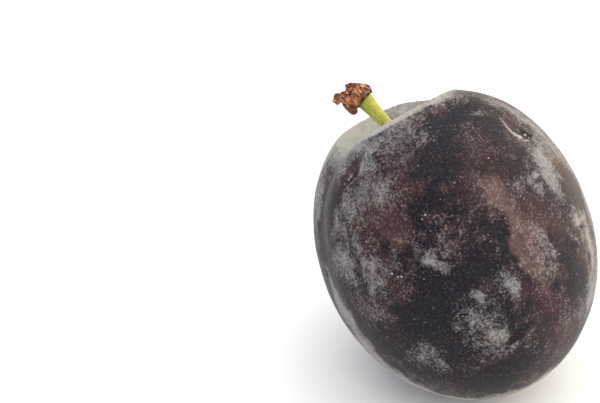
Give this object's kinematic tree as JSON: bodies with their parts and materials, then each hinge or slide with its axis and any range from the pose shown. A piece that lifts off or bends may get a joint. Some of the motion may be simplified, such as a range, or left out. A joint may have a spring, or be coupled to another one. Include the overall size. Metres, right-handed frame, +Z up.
{
  "type": "plum",
  "caption": "Ripe oval purple plum with a shallow suture, its green stalk in the hollow at the top and dried bud scales on the stalk's end, resting on a small flat spot.",
  "frame": {"origin": "The middle of the small flat spot that the plum rests on.", "axes": "+Z is up, away from the surface. The stalk end leans 40 degrees from +Z towards the (-X, +Y) corner, and -Y looks at the cheek with the pit and the dimple."},
  "size_m": [0.0483, 0.0482, 0.0505],
  "materials": {
    "skin": "dark purple skin, half rubbed to a soft gloss and half under pale wax bloom",
    "stalk": "fresh yellow-green stalk, finely grained along its length, satin",
    "dry_scale": "dry, wrinkled orange-brown scales, matt"
  },
  "bodies": {
    "root": {"fruit": "skin", "stem": "stalk", "bud_scales": "dry_scale"}
  },
  "joints": []
}
